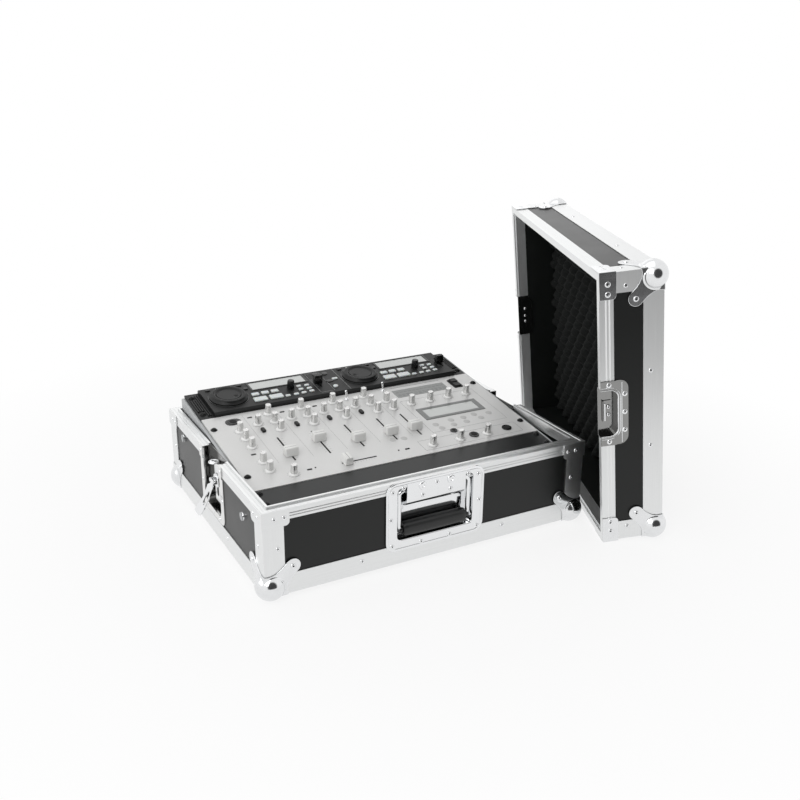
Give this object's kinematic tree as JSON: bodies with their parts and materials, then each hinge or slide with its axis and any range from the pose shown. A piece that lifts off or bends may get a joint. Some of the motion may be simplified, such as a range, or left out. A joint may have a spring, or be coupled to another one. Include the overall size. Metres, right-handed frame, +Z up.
{
  "type": "dj mixer flight case",
  "caption": "Laminated flight case tray with sloped rack mixer, twin player controller, drop handle and butterfly latches, and its foam-lined lid standing beside it.",
  "frame": {"origin": "centre of the tray's footprint, on the surface that its ball corners stand on", "axes": "+Z up, -Y towards the handle side, +X to the right seen from the handle side"},
  "size_m": [0.8222, 0.5435, 0.433],
  "materials": {
    "aluminium": "satin anodised extrusion",
    "black_paint": "black powder coat",
    "black_plastic": "black moulded plastic",
    "chrome": "bright chrome plate",
    "dish_steel": "bright plated pressed steel",
    "foam": "black egg-crate polyurethane foam",
    "laminate": "black textured laminate on birch plywood",
    "rail_steel": "zinc plated steel",
    "rubber": "ribbed black rubber",
    "silver_cap": "satin silver plastic",
    "silver_face": "silver painted sheet",
    "zinc_plate": "bright plated pressed steel"
  },
  "bodies": {
    "tray": {"tray_floor_panel": "laminate", "tray_front_panel": "laminate", "tray_rear_panel": "laminate", "tray_left_panel": "laminate", "tray_right_panel": "laminate", "tray_edge_frame": "aluminium", "tray_corner_angle_front_left": "aluminium", "tray_corner_angle_front_right": "aluminium", "tray_corner_angle_rear_right": "aluminium", "tray_corner_angle_rear_left": "aluminium", "tray_ball_corner_front_left": "zinc_plate", "tray_ball_corner_front_right": "zinc_plate", "tray_ball_corner_rear_right": "zinc_plate", "tray_ball_corner_rear_left": "zinc_plate", "tray_rim_front": "aluminium", "tray_rim_rear": "aluminium", "handle_dish": "chrome", "rack_rail_left": "rail_steel", "rack_rail_right": "rail_steel", "latch_dish_left": "dish_steel", "latch_dish_right": "dish_steel", "blank_panel": "black_paint", "mixer_face": "silver_face", "mixer_chassis": "black_paint", "player_controller": "black_plastic"},
    "lid": {"lid_top_panel": "laminate", "lid_foot_panel": "laminate", "lid_head_panel": "laminate", "lid_far_panel": "laminate", "lid_near_panel": "laminate", "lid_edge_frame": "aluminium", "lid_ball_corner_front_left": "zinc_plate", "lid_ball_corner_front_right": "zinc_plate", "lid_ball_corner_rear_right": "zinc_plate", "lid_ball_corner_rear_left": "zinc_plate", "lid_rim_foot": "aluminium", "lid_rim_head": "aluminium", "lid_strike_far": "dish_steel", "lid_strike_near": "dish_steel", "lid_foam": "foam"},
    "handle": {"handle_bail": "chrome", "handle_grip": "rubber"},
    "latch_spindle_left": {"latch_spindle_left": "dish_steel"},
    "latch_hook_left": {"latch_hook_left": "dish_steel"},
    "latch_wing_left": {"latch_wing_left": "dish_steel"},
    "latch_spindle_right": {"latch_spindle_right": "dish_steel"},
    "latch_hook_right": {"latch_hook_right": "dish_steel"},
    "latch_wing_right": {"latch_wing_right": "dish_steel"},
    "fader_1": {"mixer_fader_1": "silver_cap"},
    "fader_2": {"mixer_fader_2": "silver_cap"},
    "fader_3": {"mixer_fader_3": "silver_cap"},
    "fader_4": {"mixer_fader_4": "silver_cap"},
    "fader_5": {"mixer_fader_5": "silver_cap"},
    "crossfader": {"mixer_crossfader": "silver_cap"},
    "jog_1": {"player_jog_1": "black_plastic"},
    "encoder_1": {"player_encoder_1": "black_plastic"},
    "pitch_1": {"player_pitch_1": "black_plastic"},
    "jog_2": {"player_jog_2": "black_plastic"},
    "encoder_2": {"player_encoder_2": "black_plastic"},
    "pitch_2": {"player_pitch_2": "black_plastic"}
  },
  "joints": [
    {"name": "lid_lift", "type": "slide", "parent": "tray", "child": "lid", "axis": [0, 0, 1], "range_m": [0, 0.3]},
    {"name": "handle_swing", "type": "hinge", "parent": "tray", "child": "handle", "pos_m": [0, -0.20302, 0.121], "axis": [-1, 0, 0], "range_deg": [0, 95]},
    {"name": "latch_turn_left", "type": "hinge", "parent": "tray", "child": "latch_spindle_left", "pos_m": [-0.255, 0, 0.0955], "axis": [-1, 0, 0], "range_deg": [0, 180]},
    {"name": "latch_slide_left", "type": "slide", "parent": "tray", "child": "latch_hook_left", "axis": [0, 0, 1], "range_m": [0, 0.022]},
    {"name": "latch_wing_fold_left", "type": "hinge", "parent": "latch_spindle_left", "child": "latch_wing_left", "pos_m": [-0.2605, 0, 0.0955], "axis": [0, 1, 0], "range_deg": [-20, 63]},
    {"name": "latch_turn_right", "type": "hinge", "parent": "tray", "child": "latch_spindle_right", "pos_m": [0.255, 0, 0.0955], "axis": [1, 0, 0], "range_deg": [0, 180]},
    {"name": "latch_slide_right", "type": "slide", "parent": "tray", "child": "latch_hook_right", "axis": [0, 0, 1], "range_m": [0, 0.022]},
    {"name": "latch_wing_fold_right", "type": "hinge", "parent": "latch_spindle_right", "child": "latch_wing_right", "pos_m": [0.2605, 0, 0.0955], "axis": [0, -1, 0], "range_deg": [-20, 63]},
    {"name": "fader_1_slide", "type": "slide", "parent": "tray", "child": "fader_1", "axis": [0, 0.9925, 0.1219], "range_m": [-0.0125, 0.0475]},
    {"name": "fader_2_slide", "type": "slide", "parent": "tray", "child": "fader_2", "axis": [0, 0.9925, 0.1219], "range_m": [-0.0375, 0.0225]},
    {"name": "fader_3_slide", "type": "slide", "parent": "tray", "child": "fader_3", "axis": [0, 0.9925, 0.1219], "range_m": [-0.015, 0.045]},
    {"name": "fader_4_slide", "type": "slide", "parent": "tray", "child": "fader_4", "axis": [0, 0.9925, 0.1219], "range_m": [-0.0155, 0.0445]},
    {"name": "fader_5_slide", "type": "slide", "parent": "tray", "child": "fader_5", "axis": [0, 0.9925, 0.1219], "range_m": [-0.016, 0.044]},
    {"name": "crossfader_slide", "type": "slide", "parent": "tray", "child": "crossfader", "axis": [1, 0, 0], "range_m": [-0.002, 0.043]},
    {"name": "jog_1_turn", "type": "hinge", "parent": "tray", "child": "jog_1", "pos_m": [-0.1813, 0.14683, 0.16509], "axis": [0, -0.1219, 0.9925], "continuous": true},
    {"name": "encoder_1_turn", "type": "hinge", "parent": "tray", "child": "encoder_1", "pos_m": [-0.0743, 0.14484, 0.16485], "axis": [0, -0.1219, 0.9925], "continuous": true},
    {"name": "pitch_1_slide", "type": "slide", "parent": "tray", "child": "pitch_1", "axis": [0, 0.9925, 0.1219], "range_m": [-0.014, 0.014]},
    {"name": "jog_2_turn", "type": "hinge", "parent": "tray", "child": "jog_2", "pos_m": [0.0547, 0.14683, 0.16509], "axis": [0, -0.1219, 0.9925], "continuous": true},
    {"name": "encoder_2_turn", "type": "hinge", "parent": "tray", "child": "encoder_2", "pos_m": [0.1617, 0.14484, 0.16485], "axis": [0, -0.1219, 0.9925], "continuous": true},
    {"name": "pitch_2_slide", "type": "slide", "parent": "tray", "child": "pitch_2", "axis": [0, 0.9925, 0.1219], "range_m": [-0.014, 0.014]}
  ],
  "couplings": [
    {"joint": "latch_slide_left", "follows": "latch_turn_left", "m_per_rad": 0.007},
    {"joint": "latch_slide_right", "follows": "latch_turn_right", "m_per_rad": 0.007}
  ]
}
